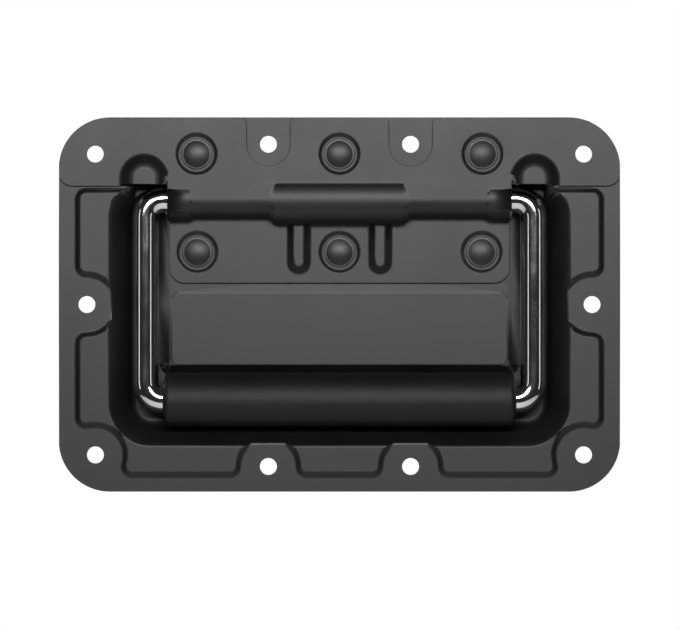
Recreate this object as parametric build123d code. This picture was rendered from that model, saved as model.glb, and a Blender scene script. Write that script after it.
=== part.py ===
"""Recessed pull handle for a flight case: a pressed steel dish, a riveted cover plate and a sprung bar.

Everything is drawn lying on its back: X to the right, Y up the case wall, Z out of the wall towards the
user, and Z = 0 on the mounting plane (the back of the dish's flange). The finished pieces are then stood
up, so that in the files X is right, Z is up and the front faces -Y. Sizes are millimetres.
"""

from math import atan, cos, degrees, hypot, radians, sin, tan
import os

from build123d import *

# Sheet and flange
sheet = 1.2
overall_width = 165.0
overall_height = 110.0
corner_radius = 15.0
gap = 0.3

# Fixing holes, measured in from the edges of the flange
hole_radius = 2.5
corner_hole_inset_x = 10.75
corner_hole_inset_y = 10.8
side_hole_inset = 8.25
middle_hole_x = 20.9
top_hole_inset = 7.9
bottom_hole_inset = 7.4

# Raised pads of the dish, with a round flat left at base level about each hole
pad_side_inset = 4.9
pad_bottom_inset = 4.3
pad_gap = 0.6
pad_rise = 1.2
pad_ramp = 1.3
pad_corner = 3.2
lobe_radius = 8.2

# Tub of the dish, whose mouth lies in the crest of the pads
tub_side_width = 10.0
tub_bottom_width = 9.3
tub_top_inset = 17.4
tub_corner = 12.5
tub_draft = 24.0
bay_draft = 5.0

# Bar, pivot and grip
bar_radius = 4.0
bend_radius = 5.3
pivot_inset = 24.0
arm_side_gap = 2.07
grip_radius = 8.0
grip_rise = 7.26
grip_lip = 1.9
grip_lip_radius = 5.0
grip_bore_gap = 0.05
rod_end_x = 2.0

# Platform behind the bar, and the shallow field pressed up on it
platform_side_gap = 3.0
platform_grip_gap = 1.9
platform_slope = 38.7
platform_corner = 4.0
field_inset = 0.6
field_top_gap = 2.55
field_rise = 0.5
field_ramp = 0.5
field_corner = 2.0

# Cover plate
cover_inset = 0.1
cover_edge_rise = 3.8
cover_corner = 3.8
notch_radius = 6.4
notch_flare = 1.7
tab_inset = 0.1
tab_drop = 24.65
tab_corner = 4.5
spring_barrel_radius = 7.4
spring_barrel_x = 18.7
spring_barrel_foot_x = 21.0
boss_radius = 6.4
boss_length = 7.6
boss_ramp = 1.2
boss_overhang = 0.3

# Hoods over the bends of the bar
hood_half_width = 6.9
hood_height = 13.0
hood_rise = 3.5
hood_slope = 38.0

# Torsion springs and the beads that hold their legs
wire = 1.6
coil_length = 10.1
leg_x = 12.0
leg_departure = 35.0
leg_end_gap = 2.9
bead_end_gap = 2.75
bead_half_width = 3.4
bead_rise = 1.8
bead_slope = 48.7

# Rivets in dimples
rivet_side_inset = 8.2
rivet_lower_rise = 9.15
rivet_shank = 2.4
rivet_clearance = 0.1
rivet_head = 4.55
rivet_head_height = 1.0
rivet_head_bevel = 0.4
rivet_tail = 3.6
rivet_tail_height = 1.4
dimple_radius = 6.1
dimple_ring = 0.8
dimple_depth = 0.7
nest_gap = 0.15

# Levels, from the stack of sheets and the bar between them
flange_front = sheet
cover_front = flange_front + sheet
pad_front = flange_front + pad_rise
bearing_radius = bar_radius + gap
bearing_barrel_radius = bearing_radius + sheet
pivot_z = flange_front - bearing_radius
platform_front = pivot_z - bar_radius - gap
tab_front = platform_front + sheet
floor_front = pivot_z - grip_radius - gap
deep = floor_front - 20.0

# Slopes of the shallow forms
pad_slope = degrees(atan(pad_ramp / pad_rise))
field_slope = degrees(atan(field_ramp / field_rise))
dimple_slope = degrees(atan(dimple_ring / dimple_depth))

# Places in the face of the handle, outermost first
corner_hole_x = overall_width / 2 - corner_hole_inset_x
corner_hole_y = overall_height / 2 - corner_hole_inset_y
side_hole_x = overall_width / 2 - side_hole_inset
top_hole_y = overall_height / 2 - top_hole_inset
bottom_hole_y = bottom_hole_inset - overall_height / 2
pad_foot_x = overall_width / 2 - pad_side_inset
pad_bottom_y = pad_bottom_inset - overall_height / 2
tub_half_width = pad_foot_x - tub_side_width
tub_bottom_y = pad_bottom_y + tub_bottom_width
tub_top_y = overall_height / 2 - tub_top_inset
tub_depth = pad_front - floor_front
draft_run = tan(radians(tub_draft))
arm_x = tub_half_width - (pad_front - pivot_z + bar_radius) * draft_run - arm_side_gap - bar_radius
pivot_y = overall_height / 2 - pivot_inset
grip_y = tub_bottom_y + tub_depth * draft_run + grip_rise
grip_half_length = arm_x - bend_radius
platform_half_width = arm_x - bar_radius - platform_side_gap
platform_bottom_y = grip_y + grip_radius + platform_grip_gap
platform_run = (platform_front - floor_front) * tan(radians(platform_slope))
cover_edge_y = pivot_y + cover_edge_rise
pad_top_y = cover_edge_y - pad_gap
hood_rim_y = pivot_y + bar_radius + gap
tab_half_width = platform_half_width - tab_inset
tab_bottom_y = pivot_y - tab_drop
field_top_y = tab_bottom_y - field_top_gap
boss_end_x = platform_half_width + boss_overhang
boss_foot_x = boss_end_x - boss_length
bead_end_y = tab_bottom_y + bead_end_gap
leg_end_y = bead_end_y + leg_end_gap
rivet_x = tab_half_width - rivet_side_inset
rivet_upper_y = corner_hole_y
rivet_lower_y = tab_bottom_y + rivet_lower_rise


def box_between(low, high):
    """Plain block from its lowest to its highest corner."""
    size = [b - a for a, b in zip(low, high)]
    return Pos(*low) * Box(*size, align=(Align.MIN, Align.MIN, Align.MIN))


def rounded(x0, x1, y0, y1, radius):
    """Rounded rectangle between two corners."""
    return Pos((x0 + x1) / 2, (y0 + y1) / 2) * RectangleRounded(x1 - x0, y1 - y0, radius)


def both_sides(shape):
    """The shape and its mirror image left and right."""
    return shape + mirror(shape, about=Plane.YZ)


def lean(depth, slope):
    """How far a sloped wall moves sideways, at the shifted level, when its surface is set back by depth."""
    return depth * (1 - sin(radians(slope))) / cos(radians(slope))


def raised(outline, level, rise, slope, back):
    """A form pressed forward from level. outline(g) is its foot grown by g; back sets the surface back."""
    return Pos(0, 0, level - back) * extrude(outline(-lean(back, slope)), rise, taper=slope)


def sunk(outline, level, depth, slope, back):
    """A form pressed backward from level, as raised() does forward."""
    prism = extrude(outline(lean(back, slope)), depth, taper=slope)
    return Pos(0, 0, level - back) * mirror(prism, about=Plane.XY)


def below(outline, level):
    """Everything behind an outline at a level, far enough back for any piece."""
    return Pos(0, 0, deep) * extrude(outline, level - deep)


def round_hole(x, y, radius):
    return Pos(x, y, deep) * Cylinder(radius, -2 * deep, align=(Align.CENTER, Align.CENTER, Align.MIN))


def dimples(level, y, back, grow=0.0):
    """Conical dimples about three rivets of one row."""
    return Part() + [
        sunk(lambda g: Pos(x, y) * Circle(dimple_radius + grow + g), level, dimple_depth, dimple_slope, back)
        for x in (-rivet_x, 0, rivet_x)
    ]


# ---------------------------------------------------------------- dish


def pad_outline(grow):
    """Foot of the raised pads: a plate with a round bite at every hole that it passes."""
    plate = rounded(
        -pad_foot_x - grow, pad_foot_x + grow, pad_bottom_y - grow, pad_top_y + grow, pad_corner + grow
    )
    holes = [(side_hole_x, 0), (corner_hole_x, -corner_hole_y), (middle_hole_x, bottom_hole_y)]
    bites = Sketch() + [Pos(x * side, y) * Circle(lobe_radius - grow) for x, y in holes for side in (-1, 1)]
    outline = plate - bites
    sharp = [v for v in outline.vertices() if any(on_bite(v, x, y, grow) for x, y in holes)]
    return fillet(sharp, pad_corner + grow)


def on_bite(vertex, x, y, grow):
    """Whether a vertex lies on the bite about the hole at (x, y) or its mirror image."""
    return abs(hypot(abs(vertex.X) - x, vertex.Y - y) - (lobe_radius - grow)) < 1e-3


def tub_outline(grow):
    return rounded(
        -tub_half_width - grow,
        tub_half_width + grow,
        tub_bottom_y - grow,
        tub_top_y + grow,
        tub_corner + grow,
    )


def bay_outline(grow):
    """Steeper pocket along the top of the tub that clears the pivot rod."""
    width = arm_x + bar_radius + grow
    return rounded(-width, width, pivot_y - tub_corner - grow, tub_top_y + grow, bar_radius + grow)


def platform_outline(grow):
    width = platform_half_width + platform_run + grow
    bottom = platform_bottom_y - platform_run - grow
    return rounded(-width, width, bottom, overall_height, platform_corner + grow)


def field_outline(grow):
    width = platform_half_width - field_inset + grow
    return rounded(-width, width, platform_bottom_y - grow, field_top_y + grow, field_corner + grow)


def dish_form(back):
    """Everything behind the dish's surface, set back by a sheet or by nothing."""
    space = sunk(tub_outline, pad_front, tub_depth, tub_draft, back)
    space += sunk(bay_outline, pad_front, pad_front - platform_front, bay_draft, back)
    rise = platform_front - floor_front
    form = below(RectangleRounded(overall_width, overall_height, corner_radius), flange_front - back)
    form += raised(pad_outline, flange_front, pad_rise, pad_slope, back)
    form -= space
    form += raised(platform_outline, floor_front, rise, platform_slope, back) & space
    form += raised(field_outline, platform_front, field_rise, field_slope, back)
    nest = lean(sheet, dimple_slope) + nest_gap
    form -= dimples(flange_front, rivet_upper_y, back, nest)
    form -= dimples(platform_front, rivet_lower_y, back, nest)
    form -= spring_housing(spring_barrel_radius - sheet + back, spring_barrel_x + back)
    return form


def spring_housing(radius, end_x):
    """Cylinder about the pivot that clears the coils."""
    return Pos(0, pivot_y, pivot_z) * Rot(0, 90, 0) * Cylinder(radius, 2 * end_x)


def make_dish():
    dish = dish_form(0) - dish_form(sheet)
    for side in (-1, 1):
        for x, y in [
            (corner_hole_x, corner_hole_y),
            (corner_hole_x, -corner_hole_y),
            (side_hole_x, 0),
            (middle_hole_x, top_hole_y),
            (middle_hole_x, bottom_hole_y),
        ]:
            dish -= round_hole(side * x, y, hole_radius)
    return dish - rivet_holes()


def rivet_holes():
    places = [(x, y) for x in (-rivet_x, 0, rivet_x) for y in (rivet_upper_y, rivet_lower_y)]
    return Part() + [round_hole(x, y, rivet_shank + rivet_clearance) for x, y in places]


# ---------------------------------------------------------------- cover plate


def barrel_form(back, end_x):
    """Roll of the cover plate over the pivot rod: wide about the springs, narrow as a bearing, wider ends.

    Gives the roll itself and its flat silhouette.
    """
    narrow = bearing_barrel_radius - back
    profile = [
        (0, spring_barrel_radius - back),
        (spring_barrel_x, spring_barrel_radius - back),
        (spring_barrel_foot_x, narrow),
        (boss_foot_x, narrow),
        (boss_foot_x + boss_ramp, boss_radius - back),
        (end_x, boss_radius - back),
    ]
    half = make_face(Polyline((0, 0), *profile, (end_x, 0), close=True))
    roll = Pos(0, pivot_y, pivot_z) * revolve(both_sides(half), Axis.X)
    wide = overall_width
    roll &= box_between((-wide, -wide, platform_front), (wide, wide, wide))
    quarter = both_sides(half)
    return roll, Pos(0, pivot_y) * (quarter + mirror(quarter, about=Plane.XZ))


def hood_outline(x):
    """Arch of a hood, run on below the rim so that the mouth stays open."""
    def outline(grow):
        width = hood_half_width + grow
        centre_y = pivot_y + hood_height - hood_half_width
        legs = Pos(x, centre_y) * Rectangle(2 * width, hood_height, align=(Align.CENTER, Align.MAX))
        return Pos(x, centre_y) * Circle(width) + legs

    return outline


def bead_outline(x):
    """Slot-shaped bead that holds the fixed leg of a spring, run on up into the barrel."""
    def outline(grow):
        width = bead_half_width + grow
        centre_y = bead_end_y + bead_half_width
        shank = Pos(x, centre_y) * Rectangle(
            2 * width, pivot_y - centre_y, align=(Align.CENTER, Align.MIN)
        )
        return Pos(x, centre_y) * Circle(width) + shank

    return outline


def cover_form(back):
    """Everything behind the cover plate's surface, set back by a sheet or by nothing."""
    wide = overall_width
    upper = box_between((-wide, pivot_y, deep), (wide, overall_height, cover_front - back))
    tab_top = pivot_y - bearing_barrel_radius + back
    lower = box_between((-wide, -overall_height, deep), (wide, tab_top, tab_front - back))
    roll, outline = barrel_form(back, boss_end_x + back)
    behind = Pos(0, 0, platform_front) * extrude(outline, pivot_z - platform_front)
    form = upper + lower + roll + behind
    for side in (-1, 1):
        form += raised(hood_outline(side * arm_x), cover_front, hood_rise, hood_slope, back)
        form += raised(bead_outline(side * leg_x), tab_front, bead_rise, bead_slope, back)
    form -= dimples(cover_front, rivet_upper_y, back)
    form -= dimples(tab_front, rivet_lower_y, back)
    return form


def cover_outline():
    """Flat outline of the cover plate as pressed."""
    half_width = overall_width / 2 - cover_inset
    top = overall_height / 2 - cover_inset
    plate = RectangleRounded(2 * half_width, 2 * top, corner_radius - cover_inset)
    plate &= Pos(0, cover_edge_y) * Rectangle(
        overall_width, overall_height, align=(Align.CENTER, Align.MIN)
    )
    low = [v for v in plate.vertices() if abs(v.Y - cover_edge_y) < 1e-6]
    plate = fillet(low, cover_corner)
    for side in (-1, 1):
        hole = Pos(side * middle_hole_x, top_hole_y)
        mouth = Rectangle(2 * notch_radius, overall_height, align=(Align.CENTER, Align.MIN))
        plate -= hole * Circle(notch_radius) + hole * mouth
    flares = [
        v
        for v in plate.vertices()
        if abs(v.Y - top) < 1e-6 and abs(abs(abs(v.X) - middle_hole_x) - notch_radius) < 1e-3
    ]
    plate = fillet(flares, notch_flare)
    for side in (-1, 1):
        plate -= Pos(side * arm_x, hood_rim_y) * Rectangle(
            2 * hood_half_width, hood_height, align=(Align.CENTER, Align.MAX)
        )
    roll = rounded(-boss_end_x, boss_end_x, pivot_y - boss_radius, cover_edge_y + cover_corner, 0.5)
    tab = rounded(-tab_half_width, tab_half_width, tab_bottom_y, pivot_y, tab_corner)
    return plate + roll + tab


def make_cover_plate():
    plate = cover_form(0) - cover_form(sheet)
    plate &= Pos(0, 0, deep) * extrude(cover_outline(), -2 * deep)
    for side in (-1, 1):
        plate -= round_hole(side * corner_hole_x, corner_hole_y, hole_radius)
    return plate - rivet_holes()


# ---------------------------------------------------------------- bar, grip, springs and rivets


def make_handle_bar():
    """One round bar bent to a loop, its two ends turned in under the cover plate as the pivot."""
    arm_and_bend = [(-rod_end_x, pivot_y), (-arm_x, pivot_y), (-arm_x, grip_y), (arm_x, grip_y)]
    arm_and_bend += [(arm_x, pivot_y), (rod_end_x, pivot_y)]
    path = FilletPolyline(*arm_and_bend, radius=bend_radius)
    start = Plane(origin=path @ 0, z_dir=path % 0)
    bar = Pos(0, 0, pivot_z) * sweep(start * Circle(bar_radius), path=path)
    for side in (-1, 1):
        slot = Box(tang_x() + wire / 2 + gap - rod_end_x, 3 * bar_radius, wire + 2 * gap)
        middle = (rod_end_x + tang_x() + wire / 2 + gap) / 2
        bar -= Pos(side * middle, pivot_y, pivot_z) * slot
    return bar


def tang_x():
    """Where the last turn of a spring crosses the slot in the rod's end."""
    return leg_x + wire - coil_length


def make_grip():
    """Round rubber sleeve moulded on the bar, drawn in to a lip at each end."""
    bore = bar_radius + grip_bore_gap
    half = make_face(
        Polyline(
            (0, bore),
            (0, grip_radius),
            (grip_half_length - grip_lip, grip_radius),
            (grip_half_length, grip_lip_radius),
            (grip_half_length, bore),
            close=True,
        )
    )
    return Pos(0, grip_y, pivot_z) * revolve(both_sides(half), Axis.X)


def make_spring(side):
    """Torsion spring: the sleeve of its close-wound coil, a tang across the rod's slot and a fixed leg."""
    inner = bar_radius + gap
    mean = inner + wire / 2
    axis = Pos(0, pivot_y, pivot_z)
    coil = Cylinder(inner + wire, coil_length) - Cylinder(inner, coil_length)
    coil = axis * Pos(side * (leg_x + wire / 2 - coil_length / 2), 0, 0) * Rot(0, 90, 0) * coil
    tang = axis * Pos(side * tang_x(), 0, 0) * Rot(90, 0, 0) * Cylinder(wire / 2, 2 * mean)
    angle = radians(leg_departure)
    root = mean - wire / 8
    start = Vector(side * leg_x, pivot_y - root * sin(angle), pivot_z - root * cos(angle))
    leg_z = platform_front + wire / 2 + gap / 3
    knee = Vector(start.X, start.Y - (leg_z - start.Z) / tan(angle), leg_z)
    end = Vector(start.X, leg_end_y, leg_z)
    leg = sweep(
        Plane(origin=start, x_dir=(side, 0, 0), z_dir=knee - start) * Circle(wire / 2),
        path=Polyline(start, knee, end),
        transition=Transition.RIGHT,
    )
    return coil + tang + leg


def make_rivet(x, y, front):
    """Round-headed rivet through both sheets, in its dimple, with a formed tail behind."""
    seat = front - dimple_depth
    back = seat - 2 * sheet
    section = make_face(
        Polyline(
            (0, back - rivet_tail_height),
            (rivet_tail, back - rivet_tail_height),
            (rivet_tail, back),
            (rivet_shank, back),
            (rivet_shank, seat),
            (rivet_head, seat),
            (rivet_head - rivet_head_bevel, seat + rivet_head_height),
            (0, seat + rivet_head_height),
            close=True,
        )
    )
    return Pos(x, y, 0) * revolve(Plane.XZ * section, Axis.Z)


def main():
    nodes = {
        "dish": make_dish(),
        "cover_plate": make_cover_plate(),
        "handle_bar": make_handle_bar(),
        "grip": make_grip(),
        "spring_left": make_spring(-1),
        "spring_right": make_spring(1),
    }
    for place, x in {"left": -rivet_x, "middle": 0, "right": rivet_x}.items():
        nodes[f"rivet_upper_{place}"] = make_rivet(x, rivet_upper_y, cover_front)
        nodes[f"rivet_lower_{place}"] = make_rivet(x, rivet_lower_y, tab_front)
    os.makedirs("parts", exist_ok=True)
    for name, solid in nodes.items():
        export_step(Plane.XZ * solid, f"parts/{name}.step")


main()
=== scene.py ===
"""Looks of a recessed pull handle: two pressed sheets, rivets, springs and a rubber-gripped bar."""

import math

import bmesh
import bpy
from bpy.props import FloatProperty, FloatVectorProperty, PointerProperty
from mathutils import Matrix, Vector


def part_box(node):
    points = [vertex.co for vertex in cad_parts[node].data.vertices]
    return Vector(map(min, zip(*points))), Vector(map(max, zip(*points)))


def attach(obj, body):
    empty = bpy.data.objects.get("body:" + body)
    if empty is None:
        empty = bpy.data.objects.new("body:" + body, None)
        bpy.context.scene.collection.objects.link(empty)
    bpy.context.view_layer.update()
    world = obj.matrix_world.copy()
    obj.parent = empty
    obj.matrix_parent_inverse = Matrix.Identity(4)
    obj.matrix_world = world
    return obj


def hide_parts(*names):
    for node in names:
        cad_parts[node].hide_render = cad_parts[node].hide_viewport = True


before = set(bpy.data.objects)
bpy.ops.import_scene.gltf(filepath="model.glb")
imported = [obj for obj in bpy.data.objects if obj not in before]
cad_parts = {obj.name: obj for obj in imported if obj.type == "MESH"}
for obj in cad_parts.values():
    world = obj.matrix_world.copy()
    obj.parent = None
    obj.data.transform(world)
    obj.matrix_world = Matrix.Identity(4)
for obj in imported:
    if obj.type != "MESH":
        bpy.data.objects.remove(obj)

bl_info = {
    "name": "Recessed Pull Handle",
    "version": (1, 0, 0),
    "blender": (4, 5, 0),
    "location": "3D Viewport > Sidebar > Pull Handle",
    "description": "Builds the finished pieces of a recessed pull handle round its packed frame",
    "category": "Object",
}

MM = 0.001
MERGE_DISTANCE = 2e-6
CUT_DISTANCE = 1e-7
WHITE = (1, 1, 1, 1)

# Heights in millimetres at which the sheets' flat faces are cut, so that none has a hole in it
DISH_SEAMS = (46, 15.5, 0, -46)
COVER_SEAMS = (46, 15.5)

# Widths of rounded creases, in millimetres
CUT_EDGE = 0.15
FOLD = 0.4
DISH_DIMPLE, COVER_DIMPLE = 0.3, 0.35
TUB_FLOOR, TUB_RIM = 1.4, 0.6
ROLL_FOOT = 0.5
HOOD_CREST, HOOD_FOOT = 1.5, 0.8

# How a face leans, as the depth part of its normal: flat sheet, a cut through it, the tub's wall
FLAT_LEAN, CUT_LEAN = 0.98, 0.02
TUB_LEAN, TUB_LEAN_SPREAD = 0.407, 0.03

# Angles in degrees: edges below the first two are dissolved, and those above the last are creases
SMOOTH_ANGLE, LEFTOVER_ANGLE, CREASE_ANGLE = 4, 0.5, 14

# Bounds of the regions with creases of their own, in millimetres
DISH_DIMPLE_REACH, COVER_DIMPLE_REACH = 7.6, 6.6
PLATFORM_HALF_WIDTH, PLATFORM_FOOT, PLATFORM_LEVEL = 54, -21, -5
TUB_MIDDLE_LEVEL = -9
ROLL_HALF_WIDTH, ROLL_BOTTOM, ROLL_MIDDLE, ROLL_TOP = 51, 21, 28, 38
HOOD_REACH, HOOD_BOTTOM, HOOD_CREST_DEPTH = 8.5, 34, -4

# Rivets: a domed head, a shank and a formed tail
HEAD_HEIGHT = 1.0 * MM
HEAD_RIM = 0.35 * MM
HEAD_EDGE = 0.1 * MM
DOME_START = 0.05 * MM
TAIL_RADIUS, SHANK_RADIUS = 3.6 * MM, 2.4 * MM
TAIL_HEIGHT, TAIL_ROUND = 1.4 * MM, 0.5 * MM
RIVET_STEPS = 64

# Grip: a sleeve with a rounded lip and a recessed collar at each end
GRIP_CLEARANCE = 0.05 * MM
COLLAR_RADIUS, COLLAR_ROUND = 5.0 * MM, 0.3 * MM
GRIP_STEPS = 96

# Studio, in metres and watts: name, place, width and height, power of each lamp
LAMPS = (
    ("key", (0, -0.55, 0.15), (0.45, 0.12), 3.3),
    ("strip_left", (-1.15, -0.95, 0.02), (0.14, 0.8), 0.5),
    ("strip_right", (1.15, -0.95, 0.02), (0.14, 0.8), 0.5),
)
EYE, LENS = (0.00015, -1.5, -0.00308), 270
FLOOR_RADIUS, FLOOR_HEIGHT = 0.6, -0.34
WORLD_TURN = (0.25, 0.5)
WORLD_STRENGTH = (0.02, 1.0)


# ---------------------------------------------------------------- places read from the frame


def middle(node):
    low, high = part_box(node)
    return (low + high) / 2


RIVETS = [
    f"rivet_{row}_{place}" for row in ("upper", "lower") for place in ("left", "middle", "right")
]
RIVET_AT = {name: middle(name) for name in RIVETS}
GRIP_LOW, GRIP_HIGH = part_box("grip")
GRIP_RADIUS = (GRIP_HIGH.z - GRIP_LOW.z) / 2
GRIP_END = GRIP_HIGH.x
BAR_LOW, BAR_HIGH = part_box("handle_bar")
BAR_RADIUS = (BAR_HIGH.y - BAR_LOW.y) / 2
ARM_X = BAR_HIGH.x - BAR_RADIUS
GRIP_CENTRE = Vector((0, (BAR_LOW.y + BAR_HIGH.y) / 2, BAR_LOW.z + BAR_RADIUS))


# ---------------------------------------------------------------- shader nodes


class Value:
    """A socket in a node tree, with arithmetic that adds Math nodes."""

    def __init__(self, nodes, socket):
        self.nodes = nodes
        self.socket = socket

    def _math(self, operation, *values):
        sockets = dict(enumerate(values))
        return self.nodes.node("ShaderNodeMath", {"operation": operation}, sockets)

    def __add__(self, other):
        return self._math("ADD", self, other)

    def __radd__(self, other):
        return self._math("ADD", other, self)

    def __mul__(self, other):
        return self._math("MULTIPLY", self, other)

    def __rmul__(self, other):
        return self._math("MULTIPLY", other, self)


class Nodes:
    """The maker of the nodes in one tree."""

    def __init__(self, tree):
        self.tree = tree

    def node(self, kind, settings, sockets, output=0):
        """Adds a node, sets it up, fills its sockets and gives one of its outputs."""
        made = self.tree.nodes.new(kind)
        for name, value in settings.items():
            setattr(made, name, value)
        for name, value in sockets.items():
            self.fill(made.inputs[name], value)
        return Value(self, made.outputs[output])

    def fill(self, socket, value):
        if isinstance(value, Value):
            self.tree.links.new(value.socket, socket)
        else:
            socket.default_value = value

    def span(self, value, low, high, new_low=0.0, new_high=1.0):
        """The value moved from one range to another and held inside it."""
        sockets = {
            "Value": value,
            "From Min": low,
            "From Max": high,
            "To Min": new_low,
            "To Max": new_high,
        }
        return self.node("ShaderNodeMapRange", {"clamp": True}, sockets, "Result")


class Finish(Nodes):
    """A material being made: its node tree, its shader and the maker of its other nodes."""

    def __init__(self, name, **constants):
        self.material = bpy.data.materials.new(name)
        self.material.use_nodes = True
        super().__init__(self.material.node_tree)
        self.shader = self.tree.nodes["Principled BSDF"]
        self.set(**constants)
        self.coordinates = self.node("ShaderNodeTexCoord", {}, {}, "Object")

    def set(self, **sockets):
        """Fills sockets of the shader, named in lower case with underscores."""
        names = {i.name.lower().replace(" ", "_"): i for i in self.shader.inputs}
        for name, value in sockets.items():
            self.fill(names[name], value)

    def noise(self, scale, detail=4.0, roughness=0.55, stretch=(1, 1, 1)):
        """Noise with features of about 1 / scale metres, stretched along the axes."""
        placement = {"Vector": self.coordinates, "Scale": stretch}
        placed = self.node("ShaderNodeMapping", {}, placement)
        sockets = {"Vector": placed, "Scale": scale, "Detail": detail, "Roughness": roughness}
        return self.node("ShaderNodeTexNoise", {}, sockets, "Fac")

    def mix(self, factor, first, second):
        """One colour turning into another as the factor goes from 0 to 1."""
        sockets = {0: factor, 6: rgba(first), 7: rgba(second)}
        return self.node("ShaderNodeMix", {"data_type": "RGBA"}, sockets, 2)

    def bump(self, height, distance, strength=1.0, normal=None):
        """A normal tilted by the slope of a height, on top of another bump if one is given."""
        sockets = {"Height": height, "Distance": distance, "Strength": strength}
        if normal is not None:
            sockets["Normal"] = normal
        return self.node("ShaderNodeBump", {}, sockets, "Normal")


def rgba(colour):
    return (*colour, 1.0)


def shade(colour, times, plus=0.0):
    """The colour made lighter or darker."""
    return tuple(min(1.0, c * times + plus) for c in colour)


# ---------------------------------------------------------------- finishes


def powder_coat(name, colour, gloss):
    """Satin black powder coat: a fine pebbled skin, a faint mottle and dust-dulled patches."""
    coat = Finish(name, specular_ior_level=0.5)
    pebble = coat.noise(scale=1800, detail=3.0)
    swell = coat.noise(scale=260, detail=2.0)
    mottle = coat.noise(scale=60, detail=5.0, roughness=0.6)
    coat.set(
        base_color=coat.mix(coat.span(mottle, 0.35, 0.7), colour, shade(colour, 1.25, 0.002)),
        roughness=coat.span(pebble * 0.5 + mottle * 0.5, 0.3, 0.7, gloss - 0.03, gloss + 0.05),
        normal=coat.bump(swell, 0.02 * MM, 0.35, coat.bump(pebble, 0.008 * MM, 0.5)),
    )
    return coat.material


def chrome(name, colour):
    """Bright chrome plate with faint haze and hairline polishing marks."""
    plate = Finish(name, metallic=1.0)
    haze = plate.noise(scale=120, detail=5.0, roughness=0.6)
    lines = plate.noise(scale=900, detail=2.0, roughness=0.5, stretch=(1, 1, 0.06))
    plate.set(
        base_color=plate.mix(plate.span(haze, 0.4, 0.75), colour, shade(colour, 0.9)),
        roughness=plate.span(haze * 0.7 + lines * 0.3, 0.35, 0.7, 0.07, 0.14),
        normal=plate.bump(lines, 0.002 * MM, 0.3),
    )
    return plate.material


def rubber(name, colour):
    """Black moulded rubber with a fine, dry grain."""
    sleeve = Finish(name, specular_ior_level=0.35)
    grain = sleeve.noise(scale=2400, detail=4.0, roughness=0.7)
    scuff = sleeve.noise(scale=90, detail=5.0, roughness=0.65, stretch=(0.5, 1, 1))
    dusty = sleeve.span(grain * 0.6 + scuff * 0.4, 0.45, 0.75)
    sleeve.set(
        base_color=sleeve.mix(dusty, colour, shade(colour, 1.7, 0.004)),
        roughness=sleeve.span(grain, 0.3, 0.7, 0.5, 0.66),
        normal=sleeve.bump(grain, 0.03 * MM, 0.6),
    )
    return sleeve.material


def spring_steel(name, colour):
    """Drawn spring wire, bright with darker oiled patches."""
    wire = Finish(name, metallic=1.0)
    patch = wire.noise(scale=400, detail=4.0)
    wire.set(
        base_color=wire.mix(wire.span(patch, 0.4, 0.7), colour, shade(colour, 0.55)),
        roughness=wire.span(patch, 0.3, 0.7, 0.22, 0.4),
        normal=wire.bump(patch, 0.01 * MM, 0.4),
    )
    return wire.material


# ---------------------------------------------------------------- mesh helpers


def new_piece(name, bm, material, body, slot, *replaced):
    """Makes a smooth-shaded object of a bmesh that rides on its body and stands for CAD nodes."""
    mesh = bpy.data.meshes.new(name)
    bm.to_mesh(mesh)
    bm.free()
    mesh.shade_smooth()
    mesh.materials.append(material)
    piece = bpy.data.objects.new(name, mesh)
    bpy.context.scene.collection.objects.link(piece)
    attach(piece, body)
    if replaced:
        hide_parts(*replaced)
    return piece


def paint_node(name, material):
    """Gives a CAD node that keeps its mesh a material in place of its own."""
    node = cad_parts[name]
    node.data.materials.clear()
    node.data.materials.append(material)


def spun(profile, centre, axis, steps):
    """A closed solid of revolution from a profile of (distance along the axis, radius) points."""
    bm = bmesh.new()
    along = Vector(axis).normalized()
    out = along.orthogonal().normalized()
    verts = [bm.verts.new(centre + along * a + out * r) for a, r in profile]
    edges = [bm.edges.new(pair) for pair in zip(verts, verts[1:])]
    bmesh.ops.spin(
        bm,
        geom=verts + edges,
        cent=centre,
        axis=along,
        angle=2 * math.pi,
        steps=steps,
        use_merge=True,
    )
    bmesh.ops.remove_doubles(bm, verts=bm.verts, dist=MERGE_DISTANCE)
    bmesh.ops.recalc_face_normals(bm, faces=bm.faces)
    return bm


def arc(centre, radius, start, end, steps):
    """Points of a profile along an arc, in degrees."""
    angles = [math.radians(start + (end - start) * i / steps) for i in range(steps + 1)]
    return [(centre[0] + radius * math.cos(t), centre[1] + radius * math.sin(t)) for t in angles]


def soften(piece, segments):
    """Rounds a piece's creases, whose weights are widths in millimetres, and evens its normals."""
    bevel = piece.modifiers.new("rounded creases", "BEVEL")
    bevel.limit_method = "WEIGHT"
    bevel.offset_type = "OFFSET"
    bevel.width = MM
    bevel.segments = segments
    bevel.profile = 0.5
    bevel.use_clamp_overlap = False
    bevel.loop_slide = False
    even = piece.modifiers.new("even normals", "WEIGHTED_NORMAL")
    even.keep_sharp = False


def pressed_sheet(node, seams, crease_width):
    """A merged copy of a CAD sheet, with whole flat faces between seams and widths on creases."""
    bm = bmesh.new()
    bm.from_mesh(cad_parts[node].data)
    bmesh.ops.remove_doubles(bm, verts=bm.verts, dist=MERGE_DISTANCE)
    for height in seams:
        cut_seam(bm, height * MM)
    bmesh.ops.dissolve_limit(
        bm,
        angle_limit=math.radians(SMOOTH_ANGLE),
        verts=bm.verts,
        edges=bm.edges,
        delimit={"SEAM"},
    )
    leftover = [e for e in bm.edges if not e.seam and bend(e) < LEFTOVER_ANGLE]
    bmesh.ops.dissolve_edges(bm, edges=leftover, use_verts=False)
    weights = bm.edges.layers.float.new("bevel_weight_edge")
    for edge in bm.edges:
        if CREASE_ANGLE < bend(edge) < math.inf:
            edge[weights] = crease_width(edge)
        edge.seam = False
    return bm


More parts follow.
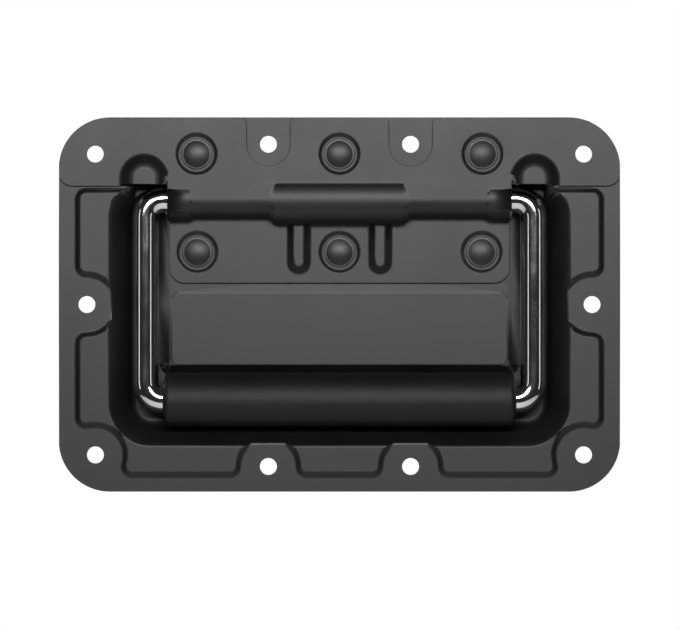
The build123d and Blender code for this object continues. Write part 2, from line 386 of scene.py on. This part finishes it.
def cut_seam(bm, height):
    """Cuts all faces at a height and marks the new edges."""
    geometry = bm.verts[:] + bm.edges[:] + bm.faces[:]
    cut = bmesh.ops.bisect_plane(
        bm, geom=geometry, dist=CUT_DISTANCE, plane_co=(0, 0, height), plane_no=(0, 0, 1)
    )
    for item in cut["geom_cut"]:
        if isinstance(item, bmesh.types.BMEdge):
            item.seam = True


def bend(edge):
    """Angle between an edge's two faces in degrees, or infinity where there aren't two."""
    return math.degrees(edge.calc_face_angle()) if len(edge.link_faces) == 2 else math.inf


def crease_facts(edge):
    """The centre of a crease in millimetres, with the larger and the smaller lean of its faces."""
    centre = (edge.verts[0].co + edge.verts[1].co) / (2 * MM)
    return centre, sorted((abs(f.normal.y) for f in edge.link_faces), reverse=True)


def near_rivet(centre, reach):
    return any(
        math.hypot(centre.x - at.x / MM, centre.z - at.z / MM) < reach for at in RIVET_AT.values()
    )


def dish_crease(edge):
    """Width in millimetres of a crease of the dish."""
    centre, (flat, wall) = crease_facts(edge)
    level = -centre.y
    on_platform = (
        abs(centre.x) < PLATFORM_HALF_WIDTH
        and centre.z > PLATFORM_FOOT
        and level < PLATFORM_LEVEL
    )
    if on_platform or flat < FLAT_LEAN:
        return 0.0
    if wall < CUT_LEAN:
        return CUT_EDGE
    if near_rivet(centre, DISH_DIMPLE_REACH):
        return DISH_DIMPLE
    if abs(wall - TUB_LEAN) < TUB_LEAN_SPREAD:
        return TUB_FLOOR if level < TUB_MIDDLE_LEVEL else TUB_RIM
    return FOLD


def cover_crease(edge):
    """Width in millimetres of a crease of the cover plate."""
    centre, (flat, wall) = crease_facts(edge)
    if near_rivet(centre, COVER_DIMPLE_REACH):
        return CUT_EDGE if wall < CUT_LEAN else COVER_DIMPLE
    if abs(centre.x) < ROLL_HALF_WIDTH and ROLL_BOTTOM < centre.z < ROLL_TOP:
        return ROLL_FOOT if flat > FLAT_LEAN and centre.z < ROLL_MIDDLE else 0.0
    if wall < CUT_LEAN:
        return CUT_EDGE
    if abs(abs(centre.x) - ARM_X / MM) < HOOD_REACH and centre.z > HOOD_BOTTOM:
        return HOOD_CREST if centre.y < HOOD_CREST_DEPTH else HOOD_FOOT
    return FOLD


def rivet_profile(length, head, dome):
    """Half section of a rivet, tail first, as (distance along the axis, radius) points."""
    seat = length - HEAD_HEIGHT
    dome_foot = head - HEAD_RIM
    radius = (dome_foot**2 + dome**2) / (2 * dome)
    half = math.degrees(math.asin(dome_foot / radius))
    profile = [(0, 0), (0, TAIL_RADIUS - TAIL_ROUND)]
    profile += arc((TAIL_ROUND, TAIL_RADIUS - TAIL_ROUND), TAIL_ROUND, 180, 90, 4)[1:]
    profile += [(TAIL_HEIGHT, TAIL_RADIUS), (TAIL_HEIGHT, SHANK_RADIUS), (seat, SHANK_RADIUS)]
    profile += [(seat, head - HEAD_EDGE), (seat + HEAD_EDGE, head)]
    profile += [(length - dome - DOME_START, head)]
    profile += arc((length - dome - HEAD_RIM * 0.3, dome_foot), HEAD_RIM, 90, 35, 4)[1:]
    profile += arc((length - radius, 0), radius, half * 0.97, 0, 12)
    profile[-1] = (length, 0)
    return profile


def grip_profile(lip_round):
    """Closed half section of the grip, as (distance along the axis, radius) points."""
    bore = BAR_RADIUS + GRIP_CLEARANCE
    collar = COLLAR_RADIUS - COLLAR_ROUND
    lip = (GRIP_END - lip_round * 1.05, GRIP_RADIUS - lip_round)
    side = [(GRIP_END, bore), (GRIP_END, collar)]
    side += arc((GRIP_END - COLLAR_ROUND, collar), COLLAR_ROUND, 0, 60, 4)[1:]
    side += arc(lip, lip_round, 42, 90, 10)
    mirrored = [(-a, r) for a, r in reversed(side)]
    return side + mirrored + [side[0]]


# ---------------------------------------------------------------- sizes and colours


class HandleSizes(bpy.types.PropertyGroup):
    rivet_dome: FloatProperty(
        name="Rivet dome",
        description="Rise of a rivet's domed head",
        default=0.9 * MM,
        unit="LENGTH",
    )
    lip_round: FloatProperty(
        name="Grip lip",
        description="Rounding of the grip's ends",
        default=1.9 * MM,
        unit="LENGTH",
    )


def colour_property(name, description, default):
    return FloatVectorProperty(
        name=name, description=description, subtype="COLOR", size=3, default=default
    )


class HandleColours(bpy.types.PropertyGroup):
    coat: colour_property("Coat", "Powder coat", (0.005, 0.005, 0.0052))
    bar: colour_property("Chrome", "Plated bar", (0.80, 0.81, 0.82))
    grip: colour_property("Rubber", "Grip sleeve", (0.003, 0.003, 0.003))
    spring: colour_property("Spring", "Spring wire", (0.55, 0.54, 0.52))
    floor: colour_property("Floor", "Studio floor", (0.86, 0.86, 0.86))


# ---------------------------------------------------------------- pieces


class HANDLE_OT_dish(bpy.types.Operator):
    """Press the dish: flange, raised pads, tub, platform and field"""

    bl_idname = "pull_handle.dish"
    bl_label = "Dish"

    def execute(self, context):
        bm = pressed_sheet("dish", DISH_SEAMS, dish_crease)
        coat = powder_coat("dish coat", context.scene.handle_colours.coat, gloss=0.47)
        piece = new_piece("pressed_dish", bm, coat, "housing", "dish_coat", "dish")
        soften(piece, segments=5)
        return {"FINISHED"}


class HANDLE_OT_cover(bpy.types.Operator):
    """Press the cover plate: barrels, hoods, tab, beads and dimples"""

    bl_idname = "pull_handle.cover"
    bl_label = "Cover Plate"

    def execute(self, context):
        bm = pressed_sheet("cover_plate", COVER_SEAMS, cover_crease)
        coat = powder_coat("plate coat", context.scene.handle_colours.coat, gloss=0.47)
        piece = new_piece("pressed_cover", bm, coat, "housing", "plate_coat", "cover_plate")
        soften(piece, segments=4)
        return {"FINISHED"}


class HANDLE_OT_rivets(bpy.types.Operator):
    """Set the six domed rivets with their formed tails"""

    bl_idname = "pull_handle.rivets"
    bl_label = "Rivets"

    def execute(self, context):
        dome = context.scene.handle_sizes.rivet_dome
        coat = powder_coat("rivet coat", context.scene.handle_colours.coat, gloss=0.42)
        for name in RIVETS:
            low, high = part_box(name)
            tail_end = Vector((RIVET_AT[name].x, high.y, RIVET_AT[name].z))
            profile = rivet_profile(high.y - low.y, (high.x - low.x) / 2, dome)
            bm = spun(profile, tail_end, (0, -1, 0), RIVET_STEPS)
            new_piece(f"set_{name}", bm, coat, "housing", "rivet_coat", name)
        return {"FINISHED"}


class HANDLE_OT_bar(bpy.types.Operator):
    """Plate the bar with chrome"""

    bl_idname = "pull_handle.bar"
    bl_label = "Bar"

    def execute(self, context):
        paint_node("handle_bar", chrome("bar chrome", context.scene.handle_colours.bar))
        return {"FINISHED"}


class HANDLE_OT_grip(bpy.types.Operator):
    """Mould the rubber grip"""

    bl_idname = "pull_handle.grip"
    bl_label = "Grip"

    def execute(self, context):
        profile = grip_profile(context.scene.handle_sizes.lip_round)
        bm = spun(profile, GRIP_CENTRE, (1, 0, 0), GRIP_STEPS)
        sleeve = rubber("grip rubber", context.scene.handle_colours.grip)
        new_piece("rubber_grip", bm, sleeve, "handle", "grip_rubber", "grip")
        return {"FINISHED"}


class HANDLE_OT_springs(bpy.types.Operator):
    """Give the two torsion springs their drawn wire"""

    bl_idname = "pull_handle.springs"
    bl_label = "Springs"

    def execute(self, context):
        wire = spring_steel("spring wire", context.scene.handle_colours.spring)
        for side in ("left", "right"):
            paint_node(f"spring_{side}", wire)
        return {"FINISHED"}


class HANDLE_OT_studio(bpy.types.Operator):
    """Light the handle and set the camera"""

    bl_idname = "pull_handle.studio"
    bl_label = "Studio"

    def execute(self, context):
        scene = context.scene
        make_camera(scene)
        for lamp in LAMPS:
            make_lamp(scene, *lamp)
        make_floor(scene)
        make_world(scene)
        scene.view_settings.view_transform = "Standard"
        return {"FINISHED"}


# ---------------------------------------------------------------- studio


def make_camera(scene):
    camera = bpy.data.cameras.new("camera")
    camera.sensor_width = 36
    camera.lens = LENS
    camera.clip_start, camera.clip_end = 0.1, 20
    eye = bpy.data.objects.new("camera", camera)
    eye.location = EYE
    eye.rotation_euler = (math.radians(90), 0, 0)
    scene.collection.objects.link(eye)
    scene.camera = eye


def make_lamp(scene, name, place, size, power):
    """Adds a rectangular area lamp that points at the handle and isn't seen itself."""
    light = bpy.data.lights.new(name, "AREA")
    light.shape = "RECTANGLE"
    light.size, light.size_y = size
    light.energy = power
    lamp = bpy.data.objects.new(name, light)
    lamp.location = place
    lamp.rotation_euler = (-Vector(place)).to_track_quat("-Z", "Y").to_euler()
    lamp.visible_camera = False
    scene.collection.objects.link(lamp)


def make_floor(scene):
    bm = bmesh.new()
    bmesh.ops.create_circle(bm, cap_ends=True, radius=FLOOR_RADIUS, segments=96)
    bmesh.ops.translate(bm, verts=bm.verts, vec=(0, 0, FLOOR_HEIGHT))
    mesh = bpy.data.meshes.new("floor")
    bm.to_mesh(mesh)
    bm.free()
    plain = Finish("floor paint", roughness=0.8)
    plain.set(base_color=rgba(scene.handle_colours.floor))
    mesh.materials.append(plain.material)
    floor = bpy.data.objects.new("floor", mesh)
    scene.collection.objects.link(floor)


def make_world(scene):
    """White to the camera, with dim light from the front, so that the lamps shape the handle."""
    world = bpy.data.worlds.new("studio")
    world.use_nodes = True
    nodes = Nodes(world.node_tree)
    seen = nodes.node("ShaderNodeLightPath", {}, {}, "Is Camera Ray")
    direction = nodes.node("ShaderNodeTexCoord", {}, {}, "Generated")
    backward = nodes.node("ShaderNodeSeparateXYZ", {}, {"Vector": direction}, "Y")
    lit = nodes.span(backward, *WORLD_TURN, *WORLD_STRENGTH)
    strength = nodes.node("ShaderNodeMix", {"data_type": "FLOAT"}, {0: seen, 2: lit, 3: 1.0})
    background = nodes.tree.nodes["Background"]
    nodes.fill(background.inputs["Strength"], strength)
    nodes.fill(background.inputs["Color"], WHITE)
    scene.world = world


# ---------------------------------------------------------------- panel and start


OPERATORS = (
    HANDLE_OT_dish,
    HANDLE_OT_cover,
    HANDLE_OT_rivets,
    HANDLE_OT_bar,
    HANDLE_OT_grip,
    HANDLE_OT_springs,
    HANDLE_OT_studio,
)


class HANDLE_PT_pieces(bpy.types.Panel):
    """Pieces, sizes and colours of the pull handle"""

    bl_idname = "HANDLE_PT_pieces"
    bl_label = "Pull Handle"
    bl_space_type = "VIEW_3D"
    bl_region_type = "UI"
    bl_category = "Pull Handle"

    def draw(self, context):
        for group in (context.scene.handle_sizes, context.scene.handle_colours):
            for name in group.__annotations__:
                self.layout.prop(group, name)
        for operator in OPERATORS:
            self.layout.operator(operator.bl_idname)


CLASSES = (HandleSizes, HandleColours, *OPERATORS, HANDLE_PT_pieces)


def register():
    for cls in CLASSES:
        bpy.utils.register_class(cls)
    bpy.types.Scene.handle_sizes = PointerProperty(type=HandleSizes)
    bpy.types.Scene.handle_colours = PointerProperty(type=HandleColours)


def unregister():
    del bpy.types.Scene.handle_colours
    del bpy.types.Scene.handle_sizes
    for cls in reversed(CLASSES):
        bpy.utils.unregister_class(cls)


def main():
    register()
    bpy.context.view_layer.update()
    for operator in OPERATORS:
        group, name = operator.bl_idname.split(".")
        getattr(getattr(bpy.ops, group), name)()
    bpy.context.view_layer.update()


if __name__ == "__main__":
    main()
